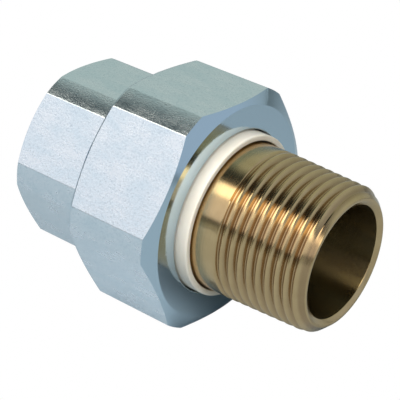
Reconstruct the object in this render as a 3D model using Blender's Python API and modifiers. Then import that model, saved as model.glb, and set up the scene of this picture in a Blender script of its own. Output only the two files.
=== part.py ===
"""Dielectric pipe union, nominal 3/4 inch: a steel end with a female pipe thread and a brass
tail with a male one, drawn together by a steel union nut and kept apart electrically by a
nylon sleeve and a rubber gasket.

Sizes are in metres. The flow axis is world X with the brass tail at +X, and the nut lies on
one of its flats, which faces -Z. The origin is on the flow axis, halfway along the fitting.
Each piece is drawn along its own Z axis, and the empty flow_axis turns that onto world X.
"""

import math

import bmesh
import bpy

MM = 0.001
SEGMENTS = 36  # straight sides in each full turn of a round surface
CLEARANCE = 0.3 * MM  # gap between pieces that touch, slide or turn on each other
RUN_PAST = 1.0 * MM  # how far a cutter runs past the faces that it cuts
EMBED = 0.08 * MM  # how far a thread's section runs through the surface that carries it
MERGE = 0.01 * MM
SLIVER = 0.003 * MM  # what is thinner than this after cutting is closed up
SMOOTH_ANGLE = math.radians(20)  # edges flatter than this are shaded smooth
FLANK = math.tan(math.radians(30))  # slope of the flanks of a 60 degree thread

# Lengths along the flow axis
END_BEHIND_NUT = 17.3 * MM
NUT_LENGTH = 18.25 * MM
TAIL_AHEAD_OF_NUT = 24.15 * MM
SLEEVE_AHEAD_OF_NUT = 2.3 * MM

# Pipe threads of both ends: 14 to the inch, tapered 1 in 16 on diameter, right-handed
PIPE_END_DIAMETER = 26.1 * MM  # over the male thread's crests at its open end
PIPE_PITCH = 25.4 * MM / 14
PIPE_TAPER = 1 / 32  # on radius
PIPE_FLAT = 0.1 * PIPE_PITCH  # width of the flat at the bottom of the groove
PIPE_CREST_FLAT = 0.36 * PIPE_PITCH  # the crests are cut off well below a sharp V
PIPE_HEIGHT = (PIPE_PITCH - PIPE_FLAT - PIPE_CREST_FLAT) / 2 / FLANK
PIPE_HAND_TIGHT = 8.6 * MM  # how far a male end goes into a female one by hand

# Brass tail
MALE_FULL_THREAD = 16.0 * MM  # stretch where the crests are whole
MALE_THREAD_LENGTH = 18.2 * MM  # with the run-out
MALE_END_CHAMFER = 1.55 * MM
TAIL_WALL = 2.0 * MM  # under the thread's root at the open end
TAIL_COLLAR = 3.0 * MM
TAIL_COLLAR_BREAK = 0.4 * MM
TAIL_COUNTERSINK = 0.5 * MM  # depth of the bore's own chamfer
TAIL_RIM = 0.4 * MM  # flat left between the two chamfers

# Insulating sleeve and gasket
SLEEVE_WALL = 1.05 * MM
SLEEVE_EDGE = 0.6 * MM
SLEEVE_FLANGE = 1.6 * MM
SLEEVE_FLANGE_STEP = 2.0 * MM  # how far the flange stands out of the sleeve
COLLAR_SETBACK = 0.6 * MM  # how far the tail's collar lies inside the flange's edge
GASKET_SETBACK = 1.1 * MM  # how far the gasket lies inside the collar's edge
GASKET_THICKNESS = 2.3 * MM
GASKET_BORE_STEP = 0.4 * MM  # how much wider than the female end's bore the gasket's is

# Union thread, straight and right-handed, between the nut and the female end
UNION_PITCH = 2.0 * MM
UNION_HEIGHT = 1.0 * MM
UNION_CREST = 0.3 * MM
UNION_FLANK_GAP = 0.22 * MM
UNION_RUN_OUT = 0.7 * MM  # plain stretch between the thread and the hexagon

# Union nut: a hexagon whose corners are turned down
NUT_SHOULDER = 3.6 * MM
NUT_UNDERCUT = 0.4 * MM  # how much wider than the thread the relief behind the shoulder is
NUT_WALL = 1.9 * MM  # between the undercut and a flat
NUT_CORNER_CUT = 1.22 * MM  # what the turning takes off each corner, on radius
NUT_FRONT_INSET = 0.9 * MM  # how far inside the flats the front face's circle lies
NUT_BACK_INSET = 0.2 * MM  # and the back face's
NUT_CHAMFER = math.radians(24.5)  # measured from the plane of the face
NUT_EDGE_BREAK = 0.4 * MM
NUT_LEAD_IN = 0.3 * MM  # how much wider than the thread the mouth at the nut's back is

# Female end: a smaller hexagon with a threaded collar in front of it
FEMALE_THREAD_LENGTH = 14.5 * MM
FEMALE_SOCKET_DEPTH = 17.0 * MM
FEMALE_MOUTH_LIP = 0.4 * MM  # how far outside the grooves the countersink starts
END_WALL = 2.156 * MM  # between the countersink's edge and a flat
END_CORNER_CUT = 1.11 * MM
END_FACE_INSET = 0.275 * MM
END_CHAMFER = math.radians(30)
END_BORE_STEP = 1.5 * MM  # the ledge at the bottom of the socket
END_COLLAR_IN_NUT = 0.4 * MM  # how far inside the nut's back face the hexagon stops
END_RIM_BREAK = 0.5 * MM
GASKET_RECESS = 1.0 * MM

# Radii, worked out from the flow passage outwards
PIPE_CREST = PIPE_END_DIAMETER / 2
TAIL_BORE = PIPE_CREST - PIPE_HEIGHT - TAIL_WALL
SHANK_RADIUS = PIPE_CREST + PIPE_TAPER * MALE_FULL_THREAD
SLEEVE_INNER = SHANK_RADIUS + CLEARANCE
SLEEVE_OUTER = SLEEVE_INNER + SLEEVE_WALL
FLANGE_RADIUS = SLEEVE_OUTER + SLEEVE_FLANGE_STEP
COLLAR_RADIUS = FLANGE_RADIUS - COLLAR_SETBACK
GASKET_OUTER = COLLAR_RADIUS - GASKET_SETBACK
RECESS_RADIUS = GASKET_OUTER + CLEARANCE
UNION_ROOT = FLANGE_RADIUS  # the flange and the female end both pass through the nut's thread
NUT_BORE_RADIUS = SLEEVE_OUTER + CLEARANCE
NUT_THREAD_RADIUS = UNION_ROOT + CLEARANCE
NUT_GROOVE_RADIUS = NUT_THREAD_RADIUS + UNION_HEIGHT
NUT_UNDERCUT_RADIUS = NUT_GROOVE_RADIUS + NUT_UNDERCUT
NUT_MOUTH_RADIUS = NUT_GROOVE_RADIUS + NUT_LEAD_IN
NUT_HALF_FLATS = NUT_UNDERCUT_RADIUS + NUT_WALL  # 41 mm across flats
FEMALE_GROOVE = PIPE_CREST + PIPE_TAPER * PIPE_HAND_TIGHT
FEMALE_CREST = FEMALE_GROOVE - PIPE_HEIGHT
FEMALE_LIP = FEMALE_GROOVE + FEMALE_MOUTH_LIP
END_BORE = FEMALE_CREST - PIPE_TAPER * FEMALE_SOCKET_DEPTH - END_BORE_STEP
END_HALF_FLATS = FEMALE_LIP + END_WALL  # 31.75 mm across flats
GASKET_INNER = END_BORE + GASKET_BORE_STEP

# Places along the axis
FITTING_LENGTH = END_BEHIND_NUT + NUT_LENGTH + TAIL_AHEAD_OF_NUT
END_BACK = -FITTING_LENGTH / 2
NUT_BACK = END_BACK + END_BEHIND_NUT
NUT_FRONT = NUT_BACK + NUT_LENGTH
TAIL_FRONT = NUT_FRONT + TAIL_AHEAD_OF_NUT
SLEEVE_FRONT = NUT_FRONT + SLEEVE_AHEAD_OF_NUT
SHOULDER = NUT_FRONT - NUT_SHOULDER
FLANGE_FRONT = SHOULDER - CLEARANCE
FLANGE_BACK = FLANGE_FRONT - SLEEVE_FLANGE
COLLAR_FRONT = FLANGE_BACK - CLEARANCE
COLLAR_BACK = COLLAR_FRONT - TAIL_COLLAR
GASKET_FRONT = COLLAR_BACK - CLEARANCE
GASKET_BACK = GASKET_FRONT - GASKET_THICKNESS
RECESS_FLOOR = GASKET_BACK - CLEARANCE
END_FRONT = RECESS_FLOOR + GASKET_RECESS
HEX_FRONT = NUT_BACK + END_COLLAR_IN_NUT
# The union thread's ridge starts where its flank's foot clears the hexagon by the run-out.
UNION_RIDGE_START = HEX_FRONT + UNION_RUN_OUT + UNION_CREST / 2 + FLANK * UNION_HEIGHT


def clear_scene():
    for old in list(bpy.data.objects):
        bpy.data.objects.remove(old)


def new_collection(name):
    made = bpy.data.collections.new(name)
    bpy.context.scene.collection.children.link(made)
    return made


def new_material(name, colour, roughness, metallic):
    made = bpy.data.materials.new(name)
    made.use_nodes = True
    shader = made.node_tree.nodes["Principled BSDF"]
    shader.inputs["Base Color"].default_value = (*colour, 1)
    shader.inputs["Roughness"].default_value = roughness
    shader.inputs["Metallic"].default_value = metallic
    return made


def new_object(name, mesh, collection, parent, material=None):
    """An object on the flow axis. One without a material is a cutter."""
    made = bpy.data.objects.new(name, mesh)
    collection.objects.link(made)
    made.parent = parent
    if material:
        mesh.materials.append(material)
    else:
        made.hide_render = True
        made.display_type = "WIRE"
    return made


def turned_ring(name, outline, collection, parent, material=None):
    """A ring turned about Z. Its outline of (radius, height) runs down outside and up inside."""
    mesh = bpy.data.meshes.new(name)
    points = [(radius, 0, height) for radius, height in outline]
    edges = [(i, (i + 1) % len(points)) for i in range(len(points))]
    mesh.from_pydata(points, edges, [])
    made = new_object(name, mesh, collection, parent, material)
    screw = made.modifiers.new("turn", "SCREW")
    screw.steps = SEGMENTS
    screw.render_steps = SEGMENTS
    screw.use_merge_vertices = True
    screw.merge_threshold = MERGE
    return made


def prism(name, sides, radius, bottom, top, collection, parent, material=None):
    """An upright prism with this many sides, whose corners lie at this radius."""
    shape = bmesh.new()
    bmesh.ops.create_cone(
        shape,
        cap_ends=True,
        segments=sides,
        radius1=radius,
        radius2=radius,
        depth=top - bottom,
    )
    bmesh.ops.translate(shape, verts=shape.verts, vec=(0, 0, (top + bottom) / 2))
    mesh = bpy.data.meshes.new(name)
    shape.to_mesh(mesh)
    shape.free()
    return new_object(name, mesh, collection, parent, material)


def thread(name, start, end, pitch, height, tip, root, fades, collection, parent):
    """A right-handed helical body about Z: a thread's ridge, or with a negative height its groove.

    Its section is a trapezoid that stands on the radius root(z) and is narrowest, with the width
    tip, at its far side. fades holds the turns over which it rises from the surface at its start
    and sinks into it at its end.
    """
    side = math.copysign(1, height)
    turns = (end - start) / pitch
    steps = math.ceil(turns * SEGMENTS)
    shape = bmesh.new()
    rings = []
    for i in range(steps + 1):
        turn = i / SEGMENTS
        rise = turn / fades[0] if fades[0] else 1
        sink = (steps / SEGMENTS - turn) / fades[1] if fades[1] else 1
        share = min(1, rise, sink)
        z = start + pitch * turn
        foot = root(z) - side * EMBED
        far = root(z) + height * share - side * EMBED / 2 * (1 - share)
        base = tip / 2 + FLANK * abs(far - foot)
        angle = 2 * math.pi * turn
        corners = ((foot, -base), (far, -tip / 2), (far, tip / 2), (foot, base))
        rings.append([
            shape.verts.new((radius * math.cos(angle), radius * math.sin(angle), z + across))
            for radius, across in corners
        ])
    for near, far in zip(rings, rings[1:]):
        for k, corner in enumerate(near):
            following = (k + 1) % len(near)
            shape.faces.new((corner, near[following], far[following], far[k]))
    shape.faces.new(rings[0])
    shape.faces.new(rings[-1])
    bmesh.ops.triangulate(shape, faces=shape.faces)
    bmesh.ops.recalc_face_normals(shape, faces=shape.faces)
    mesh = bpy.data.meshes.new(name)
    shape.to_mesh(mesh)
    shape.free()
    return new_object(name, mesh, collection, parent)


def combine(target, operation, other):
    boolean = target.modifiers.new(f"{operation.lower()}_{other.name}", "BOOLEAN")
    boolean.operation = operation
    boolean.object = other


def corner_radius(half_flats):
    """Where the corners of a hexagon lie, from half its size across flats."""
    return half_flats / math.cos(math.radians(30))


def union_ridge_half(radius):
    """Half the width of the union thread's ridge at this radius."""
    return UNION_CREST / 2 + FLANK * (UNION_ROOT + UNION_HEIGHT - radius)


def make_union_nut(parts, cutters, axis, steel):
    corner = corner_radius(NUT_HALF_FLATS) - NUT_CORNER_CUT
    front_face = NUT_HALF_FLATS - NUT_FRONT_INSET
    back_face = NUT_HALF_FLATS - NUT_BACK_INSET
    slope = math.tan(NUT_CHAMFER)
    undercut_back = COLLAR_BACK
    outline = (
        (front_face, NUT_FRONT),
        (corner, NUT_FRONT - (corner - front_face) * slope),
        (corner, NUT_BACK + (corner - back_face) * slope),
        (back_face, NUT_BACK),
        (NUT_MOUTH_RADIUS, NUT_BACK),
        (NUT_THREAD_RADIUS, NUT_BACK + NUT_MOUTH_RADIUS - NUT_THREAD_RADIUS),
        (NUT_THREAD_RADIUS, undercut_back),
        (NUT_UNDERCUT_RADIUS, undercut_back + NUT_UNDERCUT_RADIUS - NUT_THREAD_RADIUS),
        (NUT_UNDERCUT_RADIUS, SHOULDER),
        (NUT_BORE_RADIUS, SHOULDER),
        (NUT_BORE_RADIUS, NUT_FRONT - NUT_EDGE_BREAK),
        (NUT_BORE_RADIUS + NUT_EDGE_BREAK, NUT_FRONT),
    )
    nut = prism(
        "union_nut",
        6,
        corner_radius(NUT_HALF_FLATS),
        NUT_BACK - RUN_PAST,
        NUT_FRONT + RUN_PAST,
        parts,
        axis,
        steel,
    )
    combine(nut, "INTERSECT", turned_ring("nut_turning", outline, cutters, axis))
    # The groove follows the female end's ridge, whole turns behind where that one starts.
    turns_behind = math.ceil((UNION_RIDGE_START - NUT_BACK) / UNION_PITCH) + 1
    groove = thread(
        "nut_groove",
        UNION_RIDGE_START - turns_behind * UNION_PITCH,
        undercut_back + 1.25 * UNION_PITCH,
        UNION_PITCH,
        NUT_GROOVE_RADIUS - NUT_THREAD_RADIUS,
        2 * (union_ridge_half(NUT_GROOVE_RADIUS) + UNION_FLANK_GAP),
        lambda z: NUT_THREAD_RADIUS,
        (0, 0),
        cutters,
        axis,
    )
    combine(nut, "DIFFERENCE", groove)
    return nut


def make_female_end(parts, cutters, axis, steel):
    corner = corner_radius(END_HALF_FLATS) - END_CORNER_CUT
    face = END_HALF_FLATS - END_FACE_INSET
    drop = (corner - face) * math.tan(END_CHAMFER)
    countersink_end = END_BACK + FEMALE_LIP - FEMALE_CREST
    socket_end = END_BACK + FEMALE_SOCKET_DEPTH

    def crest(z):
        return FEMALE_CREST - PIPE_TAPER * (z - END_BACK)

    outline = (
        (UNION_ROOT - END_RIM_BREAK, END_FRONT),
        (UNION_ROOT, END_FRONT - END_RIM_BREAK),
        (UNION_ROOT, HEX_FRONT),
        (corner, HEX_FRONT),
        (corner, END_BACK + drop),
        (face, END_BACK),
        (FEMALE_LIP, END_BACK),
        (crest(countersink_end), countersink_end),
        (crest(socket_end), socket_end),
        (END_BORE, socket_end),
        (END_BORE, RECESS_FLOOR),
        (RECESS_RADIUS, RECESS_FLOOR),
        (RECESS_RADIUS, END_FRONT),
    )
    end = prism(
        "female_end",
        6,
        corner_radius(END_HALF_FLATS),
        END_BACK - RUN_PAST,
        HEX_FRONT,
        parts,
        axis,
        steel,
    )
    collar = prism(
        "end_collar",
        SEGMENTS,
        (corner + UNION_ROOT) / 2,
        HEX_FRONT - RUN_PAST,
        END_FRONT + RUN_PAST,
        cutters,
        axis,
    )
    combine(end, "UNION", collar)
    combine(end, "INTERSECT", turned_ring("end_turning", outline, cutters, axis))
    union_ridge = thread(
        "end_union_ridge",
        UNION_RIDGE_START,
        END_FRONT - END_RIM_BREAK - union_ridge_half(UNION_ROOT),
        UNION_PITCH,
        UNION_HEIGHT,
        UNION_CREST,
        lambda z: UNION_ROOT,
        (0.25, 0.25),
        cutters,
        axis,
    )
    combine(end, "UNION", union_ridge)
    pipe_groove = thread(
        "end_pipe_groove",
        END_BACK - PIPE_PITCH,
        END_BACK + FEMALE_THREAD_LENGTH,
        PIPE_PITCH,
        PIPE_HEIGHT,
        PIPE_FLAT,
        crest,
        (0, 0.5),
        cutters,
        axis,
    )
    combine(end, "DIFFERENCE", pipe_groove)
    return end


def make_male_tail(parts, cutters, axis, brass):
    def crest(z):
        return PIPE_CREST + PIPE_TAPER * (TAIL_FRONT - z)

    chamfer_end = TAIL_FRONT - MALE_END_CHAMFER
    rim = PIPE_CREST - MALE_END_CHAMFER
    outline = (
        (rim, TAIL_FRONT),
        (crest(chamfer_end), chamfer_end),
        (SHANK_RADIUS, TAIL_FRONT - MALE_FULL_THREAD),
        (SHANK_RADIUS, COLLAR_FRONT),
        (COLLAR_RADIUS - TAIL_COLLAR_BREAK, COLLAR_FRONT),
        (COLLAR_RADIUS, COLLAR_FRONT - TAIL_COLLAR_BREAK),
        (COLLAR_RADIUS, COLLAR_BACK + TAIL_COLLAR_BREAK),
        (COLLAR_RADIUS - TAIL_COLLAR_BREAK, COLLAR_BACK),
        (TAIL_BORE, COLLAR_BACK),
        (TAIL_BORE, TAIL_FRONT - TAIL_COUNTERSINK),
        (rim - TAIL_RIM, TAIL_FRONT),
    )
    tail = turned_ring("male_tail", outline, parts, axis, brass)
    groove = thread(
        "tail_groove",
        TAIL_FRONT - MALE_THREAD_LENGTH,
        TAIL_FRONT + PIPE_PITCH,
        PIPE_PITCH,
        -PIPE_HEIGHT,
        PIPE_FLAT,
        crest,
        (1, 0),
        cutters,
        axis,
    )
    combine(tail, "DIFFERENCE", groove)
    return tail


def make_insulator_sleeve(parts, axis, nylon):
    edge_centre = (SLEEVE_OUTER - SLEEVE_EDGE, SLEEVE_FRONT - SLEEVE_EDGE)
    angles = [math.radians(90 - 30 * i) for i in range(4)]
    rounded = [
        (edge_centre[0] + SLEEVE_EDGE * math.cos(a), edge_centre[1] + SLEEVE_EDGE * math.sin(a))
        for a in angles
    ]
    outline = (
        *rounded,
        (SLEEVE_OUTER, FLANGE_FRONT),
        (FLANGE_RADIUS, FLANGE_FRONT),
        (FLANGE_RADIUS, FLANGE_BACK),
        (SLEEVE_INNER, FLANGE_BACK),
        (SLEEVE_INNER, SLEEVE_FRONT),
    )
    return turned_ring("insulator_sleeve", outline, parts, axis, nylon)


def make_gasket(parts, axis, rubber):
    outline = (
        (GASKET_OUTER, GASKET_FRONT),
        (GASKET_OUTER, GASKET_BACK),
        (GASKET_INNER, GASKET_BACK),
        (GASKET_INNER, GASKET_FRONT),
    )
    return turned_ring("gasket", outline, parts, axis, rubber)


def keep_shape(part, graph):
    """Give the part its finished mesh, without slivers and shaded smooth where it is round."""
    mesh = bpy.data.meshes.new_from_object(part.evaluated_get(graph))
    shape = bmesh.new()
    shape.from_mesh(mesh)
    bmesh.ops.remove_doubles(shape, verts=shape.verts, dist=SLIVER)
    bmesh.ops.dissolve_degenerate(shape, edges=shape.edges, dist=SLIVER)
    shape.to_mesh(mesh)
    shape.free()
    mesh.shade_smooth()
    mesh.set_sharp_from_angle(angle=SMOOTH_ANGLE)
    part.modifiers.clear()
    part.data = mesh


def main():
    clear_scene()
    parts = new_collection("dielectric_union")
    cutters = new_collection("cutters")
    axis = bpy.data.objects.new("flow_axis", None)
    axis.rotation_euler = (0, math.pi / 2, 0)
    parts.objects.link(axis)
    steel = new_material("zinc_plated_steel", (0.56, 0.63, 0.68), 0.35, 1.0)
    brass = new_material("brass", (0.62, 0.48, 0.26), 0.3, 1.0)
    nylon = new_material("nylon", (0.83, 0.81, 0.75), 0.45, 0.0)
    rubber = new_material("rubber", (0.02, 0.02, 0.02), 0.7, 0.0)
    pieces = (
        make_female_end(parts, cutters, axis, steel),
        make_union_nut(parts, cutters, axis, steel),
        make_insulator_sleeve(parts, axis, nylon),
        make_male_tail(parts, cutters, axis, brass),
        make_gasket(parts, axis, rubber),
    )
    graph = bpy.context.evaluated_depsgraph_get()
    for piece in pieces:
        keep_shape(piece, graph)
    for cutter in list(cutters.objects):
        bpy.data.objects.remove(cutter)
    bpy.data.collections.remove(cutters)


main()
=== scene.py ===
"""The looks of a dielectric pipe union: a zinc-plated steel end and union nut, a nylon sleeve, a
turned brass tail and a rubber gasket, on a plain pale floor.

Every surface here is built in rows around the flow axis, which is world X. A row gives an axial
place and a radius for each of a piece's columns, and a column is one angle from +Y towards +Z.
"""

import bmesh
import bpy
import numpy as np
from mathutils import Matrix, Vector


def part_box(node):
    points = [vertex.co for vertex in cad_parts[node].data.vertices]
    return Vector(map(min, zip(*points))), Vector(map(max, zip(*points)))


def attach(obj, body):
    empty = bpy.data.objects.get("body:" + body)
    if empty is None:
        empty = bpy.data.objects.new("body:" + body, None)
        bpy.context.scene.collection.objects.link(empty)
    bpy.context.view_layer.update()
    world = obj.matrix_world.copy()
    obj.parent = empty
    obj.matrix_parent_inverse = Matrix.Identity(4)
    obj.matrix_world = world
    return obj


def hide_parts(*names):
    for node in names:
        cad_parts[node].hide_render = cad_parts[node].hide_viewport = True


MM = 0.001
TURN = 2 * np.pi
COLUMN_STEP = np.radians(2)
COLUMN_GAP = np.radians(0.35)  # no even column lies closer than this to one that marks an edge
WELD = 0.0002 * MM
SHARP_ANGLE = np.radians(50)
FLANK = np.tan(np.radians(30))  # slope of a 60 degree thread's flanks
THREAD_PHASE = 0.25  # the CAD's threads start on -Z, a quarter turn before +Y
CLEARANCE = 0.3 * MM  # the CAD's gap between pieces that touch

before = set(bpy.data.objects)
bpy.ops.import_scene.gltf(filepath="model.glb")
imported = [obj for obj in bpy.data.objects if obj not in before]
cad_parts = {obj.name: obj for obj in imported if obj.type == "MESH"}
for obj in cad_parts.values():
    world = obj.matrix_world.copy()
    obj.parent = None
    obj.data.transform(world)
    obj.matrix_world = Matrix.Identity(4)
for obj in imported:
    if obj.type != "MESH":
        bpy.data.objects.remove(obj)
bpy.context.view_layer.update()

# Places and radii that the CAD's own boxes give
(END_BACK, _, _), (END_FRONT, UNION_CREST_RADIUS, _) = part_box("female_end")
(NUT_BACK, _, _), (NUT_FRONT, NUT_CORNER, NUT_HALF_FLATS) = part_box("union_nut")
(FLANGE_BACK, _, _), (SLEEVE_FRONT, FLANGE_RADIUS, _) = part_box("insulator_sleeve")
(COLLAR_BACK, _, _), (TAIL_FRONT, COLLAR_RADIUS, _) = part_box("male_tail")
(GASKET_BACK, _, _), (GASKET_FRONT, GASKET_OUTER, _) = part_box("gasket")

# Pipe threads of both ends
PIPE_PITCH = 25.4 * MM / 14
PIPE_TAPER = 1 / 32
PIPE_FLAT = 0.1 * PIPE_PITCH
PIPE_CREST_FLAT = 0.36 * PIPE_PITCH
PIPE_HEIGHT = (PIPE_PITCH - PIPE_FLAT - PIPE_CREST_FLAT) / 2 / FLANK
PIPE_CREST = 13.05 * MM  # radius over the male crests at the open end
PIPE_HAND_TIGHT = 8.6 * MM
MALE_CREST_FLAT = 0.14 * PIPE_PITCH
MALE_SLOPE = PIPE_HEIGHT / ((PIPE_PITCH - MALE_CREST_FLAT - PIPE_FLAT) / 2)
PIPE_EDGE = 0.07 * MM  # rounding of crests and roots
PIPE_ROWS = (0, 0.04, 0.055, 0.075, 0.19, 0.29, 0.31, 0.325, 0.35, 0.39, 0.42, 0.44, 0.46)

# Brass tail
MALE_FULL_THREAD = 16.0 * MM
MALE_THREAD_LENGTH = 18.2 * MM
MALE_END_CHAMFER = 1.55 * MM
TAIL_COUNTERSINK = 0.5 * MM
TAIL_RIM = 0.4 * MM
TAIL_WALL = 2.0 * MM
TAIL_COLLAR = 3.0 * MM
TAIL_BORE = PIPE_CREST - PIPE_HEIGHT - TAIL_WALL
BORE_MARGIN = 0.02 * MM  # faces up to here count as the bore
SHANK_RADIUS = PIPE_CREST + PIPE_TAPER * MALE_FULL_THREAD

# Sleeve
SLEEVE_INNER = SHANK_RADIUS + CLEARANCE
SLEEVE_WALL = 1.05 * MM
SLEEVE_OUTER = SLEEVE_INNER + SLEEVE_WALL
SLEEVE_FLANGE = 1.6 * MM
FLANGE_FRONT = FLANGE_BACK + SLEEVE_FLANGE

# Union thread
UNION_ROOT = FLANGE_RADIUS
UNION_PITCH = 2.0 * MM
UNION_CREST = 0.3 * MM
UNION_HEIGHT = UNION_CREST_RADIUS - UNION_ROOT
UNION_FLANK_GAP = 0.22 * MM
UNION_RUN_OUT = 0.7 * MM
UNION_EDGE = 0.08 * MM
UNION_ROWS = (0, 0.06, 0.09, 0.2, 0.31, 0.36, 0.42)

# Union nut
NUT_BORE = SLEEVE_OUTER + CLEARANCE
NUT_THREAD = UNION_ROOT + CLEARANCE
NUT_GROOVE = NUT_THREAD + UNION_HEIGHT
NUT_UNDERCUT_DEPTH = 0.4 * MM
NUT_UNDERCUT = NUT_GROOVE + NUT_UNDERCUT_DEPTH
NUT_LEAD_IN = 0.3 * MM
NUT_MOUTH = NUT_GROOVE + NUT_LEAD_IN
NUT_FRONT_INSET = 0.9 * MM
NUT_FRONT_FACE = NUT_HALF_FLATS - NUT_FRONT_INSET
NUT_BACK_INSET = 0.2 * MM
NUT_BACK_FACE = NUT_HALF_FLATS - NUT_BACK_INSET
NUT_CHAMFER = np.tan(np.radians(24.5))
NUT_BACK_EDGE = 0.45 * MM  # rounding of the flats' back edges
SHOULDER = FLANGE_FRONT + CLEARANCE

# Female end
END_HALF_FLATS = 15.875 * MM
END_CORNER_CUT = 1.11 * MM
END_CORNER = END_HALF_FLATS / np.cos(np.pi / 6) - END_CORNER_CUT
END_FACE_INSET = 0.275 * MM
END_FACE = END_HALF_FLATS - END_FACE_INSET
END_CHAMFER = np.tan(np.radians(30))
FEMALE_THREAD_LENGTH = 14.5 * MM
FEMALE_SOCKET = 17.0 * MM
FEMALE_GROOVE = PIPE_CREST + PIPE_TAPER * PIPE_HAND_TIGHT
FEMALE_CREST = FEMALE_GROOVE - PIPE_HEIGHT
FEMALE_COUNTERSINK = 0.4 * MM
FEMALE_LIP = FEMALE_GROOVE + FEMALE_COUNTERSINK
END_BORE_STEP = 1.5 * MM
END_BORE = FEMALE_CREST - PIPE_TAPER * FEMALE_SOCKET - END_BORE_STEP
END_RIM_BREAK = 0.5 * MM
HEX_OVERLAP = 0.4 * MM  # how far the end's hexagon reaches into the nut's back
HEX_FRONT = NUT_BACK + HEX_OVERLAP
RECESS_FLOOR = GASKET_BACK - CLEARANCE
RECESS_RADIUS = GASKET_OUTER + CLEARANCE
GASKET_BORE_STEP = 0.4 * MM
GASKET_INNER = END_BORE + GASKET_BORE_STEP
UNION_RIDGE_START = HEX_FRONT + UNION_RUN_OUT + UNION_CREST / 2 + FLANK * UNION_HEIGHT

# Roundings of the hexagons' edges, of thin lips and rims, and of turned and moulded corners
HEX_EDGE = 0.02 * MM
LIP = 0.1 * MM
RIM_EDGE = 0.15 * MM
TURNED_EDGE = 0.2 * MM
BORE_EDGE = 0.3 * MM
TAIL_MOUTH_EDGE = 0.12 * MM
COLLAR_EDGE = 0.4 * MM
SLEEVE_RIM_EDGE = 0.35 * MM
SOFT_EDGE = 0.25 * MM


# Rows and columns


def smooth_min(a, b, width):
    """The smaller of the two, with the change between them rounded over this width."""
    share = np.clip(0.5 + 0.5 * (b - a) / width, 0, 1)
    return b + (a - b) * share - width * share * (1 - share)


def smooth_max(a, b, width):
    return -smooth_min(-a, -b, width)


def column_angles(marked=()):
    """Even columns for a full turn, with these angles between flats' middles added to each sixth."""
    marks = []
    for sixth in range(6):
        middle = np.pi / 6 + sixth * TURN / 6
        marks += [(middle + side * angle) % TURN for angle in marked for side in (-1, 1)]
    even = np.arange(0, TURN, COLUMN_STEP)
    if marks:
        apart = np.abs((even[:, None] - np.array(marks) + np.pi) % TURN - np.pi)
        even = even[apart.min(axis=1) > COLUMN_GAP]
    return np.append(np.sort(np.append(even, marks)), TURN + np.min(np.append(even, marks)))


def hexagon(angles, half_flats, corner, soft):
    """The radius of a hexagon with flats on top and below, whose corners are turned down."""
    from_flat = (angles % (TURN / 6)) - np.pi / 6
    return smooth_min(half_flats / np.cos(from_flat), corner, soft)


class Shell:
    """Gathers a piece's closed surface row by row, and makes a mesh of it."""

    def __init__(self, marked=()):
        self.angles = column_angles(marked)
        self.rows = []
        self.depths = []

    def add_path(self, path, steps=4):
        """Rows for a path of (x, radius, softness) corners.

        A corner is rounded off over its softness, measured along the two edges that meet there.
        """
        flat = np.zeros_like(self.angles)
        points = [np.array([x + flat, radius + flat]) for x, radius, _ in path]
        for i, (_, _, soft) in enumerate(path):
            if soft == 0:
                self.rows.append(points[i])
                self.depths.append(flat)
                continue
            arms = []
            for neighbour in (points[i - 1], points[i + 1]):
                arm = neighbour - points[i]
                arms.append(arm / np.linalg.norm(arm, axis=0))
            for t in np.linspace(0, 1, steps + 1):
                self.rows.append(points[i] + soft * ((1 - t) ** 2 * arms[0] + t**2 * arms[1]))
                self.depths.append(flat)

    def add_thread(self, x_from, x_to, start, pitch, offsets, shape):
        """Rows that follow a right-handed thread from one place to another.

        offsets are the rows' distances from a groove's or ridge's middle, in pitches. shape gives
        the radius, and how deep in the thread a point lies, from its x and that distance.
        """
        low, high = sorted((x_from, x_to))
        lead = self.angles / TURN + THREAD_PHASE
        first = int((low - start) / pitch) - 3
        last = int((high - start) / pitch) + 3
        both = sorted({*offsets, *(1 - offset for offset in offsets if offset)} | {0.5})
        made = []
        for turn in range(first, last):
            for offset in both:
                x = start + pitch * (turn + offset + lead)
                if x.max() <= low or x.min() >= high:
                    continue
                x = np.clip(x, low, high)
                place = (x - start) / pitch - lead
                from_middle = np.abs(place - np.round(place)) * pitch
                made.append((x, *shape(x, from_middle)))
        if x_from > x_to:
            made.reverse()
        for x, radius, depth in made:
            self.rows.append(np.array([x, radius]))
            self.depths.append(depth)

    def build(self, name, material, body, replaced):
        """Joins the rows into a mesh, welds its seam and puts it on its CAD body."""
        columns = len(self.angles)
        rows = np.array(self.rows)
        x, radius = rows[:, 0], rows[:, 1]
        places = np.stack([x, radius * np.cos(self.angles), radius * np.sin(self.angles)], axis=2)
        row, column = np.meshgrid(np.arange(len(rows)), np.arange(columns - 1), indexing="ij")
        following = (row + 1) % len(rows)
        corners = (
            row * columns + column,
            following * columns + column,
            following * columns + column + 1,
            row * columns + column + 1,
        )
        faces = np.stack(corners, axis=2).reshape(-1, 4)
        mesh = bpy.data.meshes.new(name)
        mesh.from_pydata(places.reshape(-1, 3).tolist(), [], faces.tolist())
        depth = mesh.attributes.new("depth", "FLOAT", "POINT")
        depth.data.foreach_set("value", np.concatenate(self.depths).astype(np.float32))
        shape = bmesh.new()
        shape.from_mesh(mesh)
        bmesh.ops.remove_doubles(shape, verts=shape.verts, dist=WELD)
        bmesh.ops.recalc_face_normals(shape, faces=shape.faces)
        shape.to_mesh(mesh)
        shape.free()
        mesh.shade_smooth()
        mesh.set_sharp_from_angle(angle=SHARP_ANGLE)
        mesh.materials.append(material)
        made = bpy.data.objects.new(name, mesh)
        bpy.context.scene.collection.objects.link(made)
        weighted = made.modifiers.new("flat faces stay flat", "WEIGHTED_NORMAL")
        weighted.keep_sharp = True
        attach(made, body)
        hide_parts(replaced)
        return made


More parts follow.
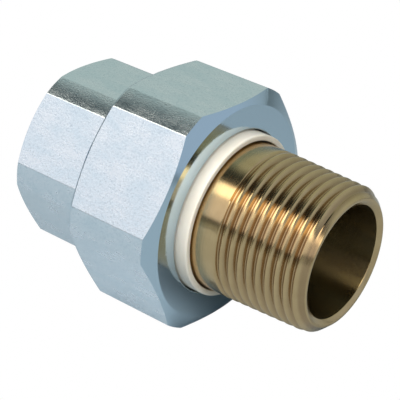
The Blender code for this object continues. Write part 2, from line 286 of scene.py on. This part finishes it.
def hexagon_marks(half_flats, corner, *radii):
    """Angles from a flat's middle where columns have to lie: its edges, and where it meets radii."""
    edge = np.arccos(half_flats / corner)
    marks = [edge + offset for offset in np.radians((-0.5, -0.25, 0, 0.25, 0.5))]
    return marks + [np.arccos(half_flats / radius) for radius in radii]


def hexagon_back(outline, back, face, slope, edge):
    """The corners of a chamfered hexagon's back end, from its side to its back face."""
    return [(back + (outline - face) * slope, outline, edge), (back, face, HEX_EDGE)]


# Pieces


def union_nut(steel):
    marks = hexagon_marks(NUT_HALF_FLATS, NUT_CORNER)
    shell = Shell(marks)
    outline = hexagon(shell.angles, NUT_HALF_FLATS, NUT_CORNER, HEX_EDGE)
    undercut_slope_end = COLLAR_BACK + NUT_UNDERCUT - NUT_THREAD
    shell.add_path([
        (COLLAR_BACK, NUT_THREAD, 0),
        (undercut_slope_end, NUT_UNDERCUT, TURNED_EDGE),
        (SHOULDER, NUT_UNDERCUT, BORE_EDGE),
        (SHOULDER, NUT_BORE, TURNED_EDGE),
        (NUT_FRONT, NUT_BORE, BORE_EDGE),
        (NUT_FRONT, NUT_FRONT_FACE, HEX_EDGE),
        (NUT_FRONT - (outline - NUT_FRONT_FACE) * NUT_CHAMFER, outline, HEX_EDGE),
        *hexagon_back(outline, NUT_BACK, NUT_BACK_FACE, NUT_CHAMFER, NUT_BACK_EDGE),
        (NUT_BACK, NUT_MOUTH, LIP),
        (NUT_BACK + LIP, NUT_MOUTH - LIP, 0),
    ])

    def groove(x, from_middle):
        tip = UNION_CREST / 2 - FLANK * CLEARANCE + UNION_FLANK_GAP
        cut = NUT_GROOVE - np.maximum(0, from_middle - tip) / FLANK
        radius = smooth_max(NUT_THREAD, cut, UNION_EDGE)
        mouth = NUT_MOUTH - (x - NUT_BACK)
        undercut = NUT_THREAD + (x - COLLAR_BACK)
        radius = np.maximum(radius, np.maximum(mouth, undercut))
        return radius, (radius - NUT_THREAD) / UNION_HEIGHT

    shell.add_thread(
        NUT_BACK + LIP, COLLAR_BACK, UNION_RIDGE_START, UNION_PITCH, UNION_ROWS, groove
    )
    return shell.build("nut_zinc_plated", steel, "nut", "union_nut")


def female_end(steel):
    marks = hexagon_marks(END_HALF_FLATS, END_CORNER, UNION_ROOT)
    shell = Shell(marks)
    outline = hexagon(shell.angles, END_HALF_FLATS, END_CORNER, HEX_EDGE)
    socket_end = END_BACK + FEMALE_SOCKET
    pipe_thread_end = END_BACK + FEMALE_THREAD_LENGTH + PIPE_PITCH
    rim = END_FRONT - END_RIM_BREAK

    def crest(x):
        return FEMALE_CREST - PIPE_TAPER * (x - END_BACK)

    def union_ridge(x, from_middle):
        fade = np.clip(np.minimum(x - HEX_FRONT - UNION_RUN_OUT, rim - x) / UNION_CREST, 0, 1)
        height = UNION_HEIGHT * fade - np.maximum(0, from_middle - UNION_CREST / 2) / FLANK
        radius = smooth_max(UNION_ROOT, UNION_ROOT + height, UNION_EDGE * fade + WELD)
        return radius, 1 - (radius - UNION_ROOT) / UNION_HEIGHT

    def pipe_groove(x, from_middle):
        fade = np.clip((pipe_thread_end - x) / PIPE_PITCH - 0.5, 0, 1)
        cut = PIPE_HEIGHT * fade - np.maximum(0, from_middle - PIPE_FLAT / 2) / FLANK
        radius = smooth_max(crest(x), crest(x) + cut, PIPE_EDGE * fade + WELD)
        depth = (radius - crest(x)) / PIPE_HEIGHT
        countersink = FEMALE_LIP - (x - END_BACK)
        return np.maximum(radius, countersink), np.where(radius > countersink, depth, 0)

    shell.add_path([
        (HEX_FRONT + UNION_RUN_OUT, UNION_ROOT, 0),
        (HEX_FRONT, UNION_ROOT, 0),
        (HEX_FRONT, outline, 0),
        *hexagon_back(outline, END_BACK, END_FACE, END_CHAMFER, HEX_EDGE),
        (END_BACK, FEMALE_LIP, LIP),
        (END_BACK + LIP, FEMALE_LIP - LIP, 0),
    ])
    shell.add_thread(
        END_BACK + LIP, pipe_thread_end, END_BACK, PIPE_PITCH, PIPE_ROWS, pipe_groove
    )
    shell.add_path([
        (pipe_thread_end, crest(pipe_thread_end), 0),
        (socket_end, crest(socket_end), TURNED_EDGE),
        (socket_end, END_BORE, TURNED_EDGE),
        (RECESS_FLOOR, END_BORE, TURNED_EDGE),
        (RECESS_FLOOR, RECESS_RADIUS, TURNED_EDGE),
        (END_FRONT, RECESS_RADIUS, RIM_EDGE),
        (END_FRONT, UNION_ROOT - END_RIM_BREAK, RIM_EDGE),
        (rim, UNION_ROOT, 0),
    ])
    shell.add_thread(
        rim, HEX_FRONT + UNION_RUN_OUT, UNION_RIDGE_START, UNION_PITCH, UNION_ROWS, union_ridge
    )
    return shell.build("end_zinc_plated", steel, "female_half", "female_end")


def male_tail(brass, bored):
    shell = Shell()
    thread_back = TAIL_FRONT - MALE_THREAD_LENGTH
    collar_front = COLLAR_BACK + TAIL_COLLAR
    tip = PIPE_CREST - MALE_END_CHAMFER

    def thread(x, from_middle):
        cone = PIPE_CREST + PIPE_TAPER * (TAIL_FRONT - x)
        fade = np.clip((x - thread_back) / PIPE_PITCH, 0, 1)
        root = cone - PIPE_HEIGHT * fade
        cut = root + np.maximum(0, from_middle - PIPE_FLAT / 2) * MALE_SLOPE
        crest = np.minimum(cone, SHANK_RADIUS)
        radius = smooth_min(crest, cut, PIPE_EDGE * fade + WELD)
        depth = np.clip((crest - radius) / PIPE_HEIGHT, 0, 1)
        chamfer = tip + (TAIL_FRONT - x)
        return smooth_min(radius, chamfer, PIPE_EDGE), depth

    shell.add_thread(
        TAIL_FRONT - TAIL_MOUTH_EDGE, thread_back, thread_back, PIPE_PITCH, PIPE_ROWS, thread
    )
    shell.add_path([
        (thread_back, SHANK_RADIUS, 0),
        (collar_front, SHANK_RADIUS, BORE_EDGE),
        (collar_front, COLLAR_RADIUS, COLLAR_EDGE),
        (COLLAR_BACK, COLLAR_RADIUS, COLLAR_EDGE),
        (COLLAR_BACK, TAIL_BORE, BORE_EDGE),
        (TAIL_FRONT - TAIL_COUNTERSINK, TAIL_BORE, LIP),
        (TAIL_FRONT, tip - TAIL_RIM, RIM_EDGE),
        (TAIL_FRONT, tip, TAIL_MOUTH_EDGE),
        (TAIL_FRONT - TAIL_MOUTH_EDGE, tip + TAIL_MOUTH_EDGE, 0),
    ])
    made = shell.build("tail_turned_brass", brass, "tail", "male_tail")
    made.data.materials.append(bored)
    for face in made.data.polygons:
        if np.hypot(face.center.y, face.center.z) < TAIL_BORE + BORE_MARGIN:
            face.material_index = 1
    return made


def insulator_sleeve(nylon):
    shell = Shell()
    shell.add_path([
        (SLEEVE_FRONT, SLEEVE_OUTER, SLEEVE_RIM_EDGE),
        (FLANGE_FRONT, SLEEVE_OUTER, TURNED_EDGE),
        (FLANGE_FRONT, FLANGE_RADIUS, TURNED_EDGE),
        (FLANGE_BACK, FLANGE_RADIUS, TURNED_EDGE),
        (FLANGE_BACK, SLEEVE_INNER, TURNED_EDGE),
        (SLEEVE_FRONT, SLEEVE_INNER, SOFT_EDGE),
        (SLEEVE_FRONT, (SLEEVE_OUTER + SLEEVE_INNER) / 2, 0),
    ])
    return shell.build("sleeve_nylon", nylon, "insulator", "insulator_sleeve")


def gasket(rubber):
    shell = Shell()
    shell.add_path([
        (GASKET_FRONT, GASKET_OUTER, SOFT_EDGE),
        (GASKET_BACK, GASKET_OUTER, SOFT_EDGE),
        (GASKET_BACK, GASKET_INNER, SOFT_EDGE),
        (GASKET_FRONT, GASKET_INNER, SOFT_EDGE),
        (GASKET_FRONT, (GASKET_OUTER + GASKET_INNER) / 2, 0),
    ])
    return shell.build("gasket_rubber", rubber, "female_half", "gasket")


# Materials


class Nodes:
    """Short ways to make and join the nodes of a material or a world."""

    def __init__(self, owner):
        owner.use_nodes = True
        self.tree = owner.node_tree

    def add(self, kind, inputs=(), **settings):
        node = self.tree.nodes.new(kind)
        for key, value in settings.items():
            setattr(node, key, value)
        for key, value in dict(inputs).items():
            self.set(node.inputs[key], value)
        return node

    def set(self, socket, value):
        if isinstance(value, bpy.types.NodeSocket):
            self.tree.links.new(value, socket)
        else:
            socket.default_value = value

    def maths(self, operation, *values):
        return self.add("ShaderNodeMath", enumerate(values), operation=operation).outputs[0]

    def axes(self, vector):
        return self.add("ShaderNodeSeparateXYZ", {0: vector}).outputs

    def spread(self, value, low, high, to_low=0.0, to_high=1.0, smooth=False):
        """Maps low to to_low and high to to_high, and stays between them."""
        made = self.add(
            "ShaderNodeMapRange",
            {"Value": value, "From Min": low, "From Max": high, "To Min": to_low, "To Max": to_high},
            interpolation_type="SMOOTHSTEP" if smooth else "LINEAR",
        )
        return made.outputs["Result"]

    def blend(self, share, first, second):
        made = self.add("ShaderNodeMix", data_type="RGBA")
        self.set(made.inputs[0], share)
        for socket, value in ((made.inputs[6], first), (made.inputs[7], second)):
            self.set(socket, value if isinstance(value, bpy.types.NodeSocket) else (*value, 1))
        return made.outputs[2]

    def bump(self, height, distance, strength=1.0, below=None):
        made = self.add(
            "ShaderNodeBump", {"Height": height, "Distance": distance, "Strength": strength}
        )
        if below:
            self.set(made.inputs["Normal"], below)
        return made.outputs["Normal"]


class Surface(Nodes):
    """A new material's nodes, with its shader and the place on the piece to hand."""

    def __init__(self, name):
        self.material = bpy.data.materials.new(name)
        super().__init__(self.material)
        self.shader = self.tree.nodes["Principled BSDF"]
        self.place = self.add("ShaderNodeTexCoord").outputs["Object"]

    def noise(self, scale, detail=2.0, roughness=0.5, stretch=(1, 1, 1), distortion=0.0):
        """Noise with features about one metre over scale in size, from 0 to 1."""
        place = self.add("ShaderNodeVectorMath", {0: self.place, 1: stretch}, operation="MULTIPLY")
        made = self.add(
            "ShaderNodeTexNoise",
            {
                "Vector": place.outputs[0],
                "Scale": scale,
                "Detail": detail,
                "Roughness": roughness,
                "Distortion": distortion,
            },
        )
        return made.outputs["Fac"]

    def noise_along(self, value, scale, detail=2.0):
        """Noise that changes only with this value, in metres."""
        made = self.add(
            "ShaderNodeTexNoise",
            {"W": value, "Scale": scale, "Detail": detail},
            noise_dimensions="1D",
        )
        return made.outputs["Fac"]


def zinc_steel():
    """Bright zinc plating: turned faces nearly mirror-like, flats mottled by the plating's grain."""
    n = Surface("zinc_plated_steel")
    across = n.axes(n.place)
    radius = n.maths("SQRT", n.maths(
        "ADD",
        n.maths("MULTIPLY", across["Y"], across["Y"]),
        n.maths("MULTIPLY", across["Z"], across["Z"]),
    ))
    normal = n.add("ShaderNodeNewGeometry").outputs["Normal"]
    along = n.maths("ABSOLUTE", n.axes(normal)["X"])
    turned = n.spread(along, 0.3, 0.45)

    grain = n.noise(3000, 2, 0.6)
    blotch = n.noise(350, 4, 0.65, (0.5, 1, 1))
    marks = n.noise_along(radius, 5200, 2)

    tone = n.blend(n.spread(blotch, 0.35, 0.65), (0.68, 0.76, 0.82), (0.78, 0.82, 0.87))
    specks = n.maths("MULTIPLY", n.spread(n.noise(2600, 3, 0.7), 0.5, 0.72), 0.6)
    speckled = n.blend(specks, tone, (0.46, 0.55, 0.63))
    n.set(n.shader.inputs["Base Color"], n.blend(turned, speckled, (0.50, 0.62, 0.71)))
    rough = n.spread(blotch, 0.3, 0.7, 0.20, 0.30)
    n.set(n.shader.inputs["Roughness"], n.maths(
        "ADD",
        n.maths("MULTIPLY", rough, n.maths("SUBTRACT", 1.0, turned)),
        n.maths("MULTIPLY", n.spread(marks, 0.3, 0.7, 0.08, 0.14), turned),
    ))
    n.shader.inputs["Metallic"].default_value = 1.0
    fine = n.bump(grain, 0.05 * MM, 0.75)
    rings = n.bump(marks, 0.004 * MM, 0.6)
    normals = n.add("ShaderNodeMix", data_type="VECTOR")
    n.set(normals.inputs[0], turned)
    n.set(normals.inputs[4], fine)
    n.set(normals.inputs[5], rings)
    n.set(n.shader.inputs["Normal"], normals.outputs[1])
    return n.material


def turned_brass():
    """Machined brass, with the tool's rings, and painted shade that makes it browner down in the
    thread.
    """
    n = Surface("turned_brass")
    depth = n.add("ShaderNodeAttribute", attribute_name="depth").outputs["Fac"]
    tarnish = n.noise(260, 4, 0.6)
    rings = n.noise_along(n.axes(n.place)["X"], 7000, 2)
    brass_tone = n.blend(n.spread(tarnish, 0.35, 0.7), (0.60, 0.43, 0.23), (0.53, 0.37, 0.19))
    # painted shade: the deeper a point lies in the thread, the closer its colour is to dark brown
    deep = n.spread(depth, 0.1, 0.8, 0.0, 0.7, True)
    n.set(n.shader.inputs["Base Color"], n.blend(deep, brass_tone, (0.34, 0.22, 0.12)))
    n.set(n.shader.inputs["Roughness"], n.spread(rings, 0.3, 0.7, 0.12, 0.22))
    n.shader.inputs["Metallic"].default_value = 1.0
    n.set(n.shader.inputs["Normal"], n.bump(rings, 0.005 * MM, 1.0))
    return n.material


def bored_brass():
    """The bore's coarser rings, which stretch reflections along it, and painted shade: a much darker
    brass colour over the whole bore.
    """
    n = Surface("bored_brass")
    grain = n.noise(2500, 3, 0.6)
    # painted shade: the bore's colour is far darker than the outer brass, and the grain varies it at
    # random
    n.set(
        n.shader.inputs["Base Color"],
        n.blend(n.spread(grain, 0.35, 0.65), (0.26, 0.19, 0.09), (0.40, 0.30, 0.14)),
    )
    n.shader.inputs["Metallic"].default_value = 1.0
    n.shader.inputs["Roughness"].default_value = 0.27
    n.shader.inputs["Anisotropic"].default_value = 0.95
    n.shader.inputs["Anisotropic Rotation"].default_value = 0.25
    tangent = n.add("ShaderNodeTangent", direction_type="RADIAL", axis="X")
    n.set(n.shader.inputs["Tangent"], tangent.outputs[0])
    return n.material


def nylon():
    """Off-white moulded nylon, slightly translucent."""
    n = Surface("nylon")
    cloud = n.noise(180, 3, 0.5)
    n.set(
        n.shader.inputs["Base Color"],
        n.blend(n.spread(cloud, 0.3, 0.7), (0.66, 0.61, 0.52), (0.70, 0.65, 0.57)),
    )
    n.shader.inputs["Roughness"].default_value = 0.42
    n.shader.inputs["Subsurface Weight"].default_value = 0.3
    n.shader.inputs["Subsurface Radius"].default_value = (1.0, 0.8, 0.6)
    n.shader.inputs["Subsurface Scale"].default_value = 0.8 * MM
    n.set(n.shader.inputs["Normal"], n.bump(n.noise(2500, 2), 0.01 * MM, 0.4))
    return n.material


def black_rubber():
    n = Surface("black_rubber")
    dust = n.noise(900, 4, 0.6)
    n.set(
        n.shader.inputs["Base Color"],
        n.blend(n.spread(dust, 0.4, 0.75), (0.012, 0.012, 0.013), (0.035, 0.034, 0.033)),
    )
    n.set(n.shader.inputs["Roughness"], n.spread(dust, 0.3, 0.7, 0.5, 0.75))
    n.set(n.shader.inputs["Normal"], n.bump(dust, 0.03 * MM, 0.5))
    return n.material


# Studio

WHITE = (1, 1, 1)
FLOOR_SIZE = 3.0
FLOOR_IN_METAL = (0.34, 0.39, 0.42)  # the floor's colour wherever the camera doesn't see it itself
AHEAD_SLANT = 0.4  # how much a direction's y counts, beside its x, towards being ahead
AHEAD_FROM_TO = (0.72, 0.98)
AHEAD_COLOUR = (0.52, 0.60, 0.68)
BEHIND_FROM_TO = (-0.85, -0.97)
BEHIND_COLOUR = (0.08, 0.10, 0.12)
DIFFUSE_SHARE = 0.3
LIGHTS = (
    # name, place, size, power
    ("key", Vector((-0.1, -0.35, 0.45)), 0.35, 4.5),
    ("fill", Vector((0.45, -0.2, 0.35)), 0.3, 1.5),
)
WORLD_STOPS = (
    # degrees around the flow axis from -Y towards +Z, and the colour that is reflected from there
    (-180, (0.40, 0.46, 0.46)),
    (-130, (0.34, 0.44, 0.48)),
    (-92, (0.26, 0.39, 0.48)),
    (-50, (0.44, 0.54, 0.54)),
    (-20, (0.50, 0.60, 0.58)),
    (2, (0.42, 0.48, 0.46)),
    (8, (0.04, 0.05, 0.05)),
    (12, (0.04, 0.05, 0.05)),
    (14, (0.92, 0.95, 1.00)),
    (47, (1.05, 1.07, 1.10)),
    (50, (3.2, 3.1, 2.7)),
    (65, (3.2, 3.1, 2.7)),
    (69, (0.03, 0.045, 0.05)),
    (88, (0.03, 0.045, 0.05)),
    (104, (0.50, 0.60, 0.55)),
    (150, (0.50, 0.60, 0.55)),
    (180, (0.40, 0.46, 0.46)),
)


def studio_world():
    """Soft light from all round, which the metals reflect.

    Its colour depends on the direction's angle around the flow axis. It is plainer ahead of the
    fitting and darker behind it, white where the camera sees it, and dimmer as diffuse light.
    """
    world = bpy.data.worlds.new("studio")
    bpy.context.scene.world = world
    n = Nodes(world)
    direction = n.axes(n.add("ShaderNodeTexCoord").outputs["Generated"])
    minus_y = n.maths("MULTIPLY", direction["Y"], -1)
    angle = n.maths("ARCTAN2", direction["Z"], minus_y)
    ramp = n.add("ShaderNodeValToRGB", {0: n.spread(angle, -np.pi, np.pi)})
    stops = ramp.color_ramp.elements
    while len(stops) < len(WORLD_STOPS):
        stops.new(0.5)
    for stop, (degrees, colour) in zip(stops, WORLD_STOPS):
        stop.position = (degrees + 180) / 360
        stop.color = (*colour, 1)
    slanted = n.maths("MULTIPLY_ADD", direction["Y"], AHEAD_SLANT, direction["X"])
    around = n.blend(n.spread(slanted, *AHEAD_FROM_TO), ramp.outputs[0], AHEAD_COLOUR)
    around = n.blend(n.spread(direction["X"], *BEHIND_FROM_TO), around, BEHIND_COLOUR)
    light_path = n.add("ShaderNodeLightPath").outputs
    background = n.tree.nodes["Background"]
    n.set(background.inputs["Color"], n.blend(light_path["Is Camera Ray"], around, WHITE))
    n.set(
        background.inputs["Strength"],
        n.spread(light_path["Is Diffuse Ray"], 0, 1, 1, DIFFUSE_SHARE),
    )


def floor(height):
    """A pale floor. It looks white to the camera, and greyer in the metal."""
    mesh = bpy.data.meshes.new("floor")
    shape = bmesh.new()
    bmesh.ops.create_grid(shape, x_segments=2, y_segments=2, size=FLOOR_SIZE / 2)
    shape.to_mesh(mesh)
    shape.free()
    made = bpy.data.objects.new("floor", mesh)
    made.location.z = height
    bpy.context.scene.collection.objects.link(made)
    n = Surface("pale_floor")
    n.shader.inputs["Base Color"].default_value = (*FLOOR_IN_METAL, 1)
    n.shader.inputs["Roughness"].default_value = 0.9
    white = n.add("ShaderNodeEmission", {"Color": (*WHITE, 1)})
    seen = n.add("ShaderNodeLightPath").outputs["Is Camera Ray"]
    mix = n.add("ShaderNodeMixShader", {0: seen, 1: n.shader.outputs[0], 2: white.outputs[0]})
    n.set(n.tree.nodes["Material Output"].inputs[0], mix.outputs[0])
    mesh.materials.append(n.material)


def diffuse_light(name, place, size, power):
    """A soft light that brightens plastic and the floor, and isn't reflected in the metal."""
    data = bpy.data.lights.new(name, "AREA")
    data.shape = "SQUARE"
    data.size = size
    data.energy = power
    made = bpy.data.objects.new(name, data)
    bpy.context.scene.collection.objects.link(made)
    turn = place.to_track_quat("Z", "Y").to_matrix().to_4x4()
    made.matrix_world = Matrix.Translation(place) @ turn
    made.visible_camera = False
    made.visible_glossy = False


AZIMUTH = np.radians(35.39)
ELEVATION = np.radians(27.46)
ROLL = np.radians(5.95)
DISTANCE = 257.1 * MM
AIM = Vector((-0.65, -0.32, -0.08)) * MM
SENSOR_WIDTH = 36  # in mm, as the lens is
LENS = 131.4
NEAR_LIMIT = 0.01


def camera():
    data = bpy.data.cameras.new("camera")
    data.sensor_width = SENSOR_WIDTH
    data.lens = LENS
    data.clip_start = NEAR_LIMIT
    made = bpy.data.objects.new("camera", data)
    bpy.context.scene.collection.objects.link(made)
    back = Vector((
        np.sin(AZIMUTH) * np.cos(ELEVATION),
        -np.cos(AZIMUTH) * np.cos(ELEVATION),
        np.sin(ELEVATION),
    ))
    level = back.to_track_quat("Z", "Y").to_matrix().to_4x4()
    place = Matrix.Translation(AIM + DISTANCE * back)
    made.matrix_world = place @ level @ Matrix.Rotation(ROLL, 4, "Z")
    bpy.context.scene.camera = made


def main():
    bpy.context.scene.view_settings.view_transform = "Standard"
    steel = zinc_steel()
    union_nut(steel)
    female_end(steel)
    male_tail(turned_brass(), bored_brass())
    insulator_sleeve(nylon())
    gasket(black_rubber())
    studio_world()
    floor(-NUT_HALF_FLATS)
    for light in LIGHTS:
        diffuse_light(*light)
    camera()


main()
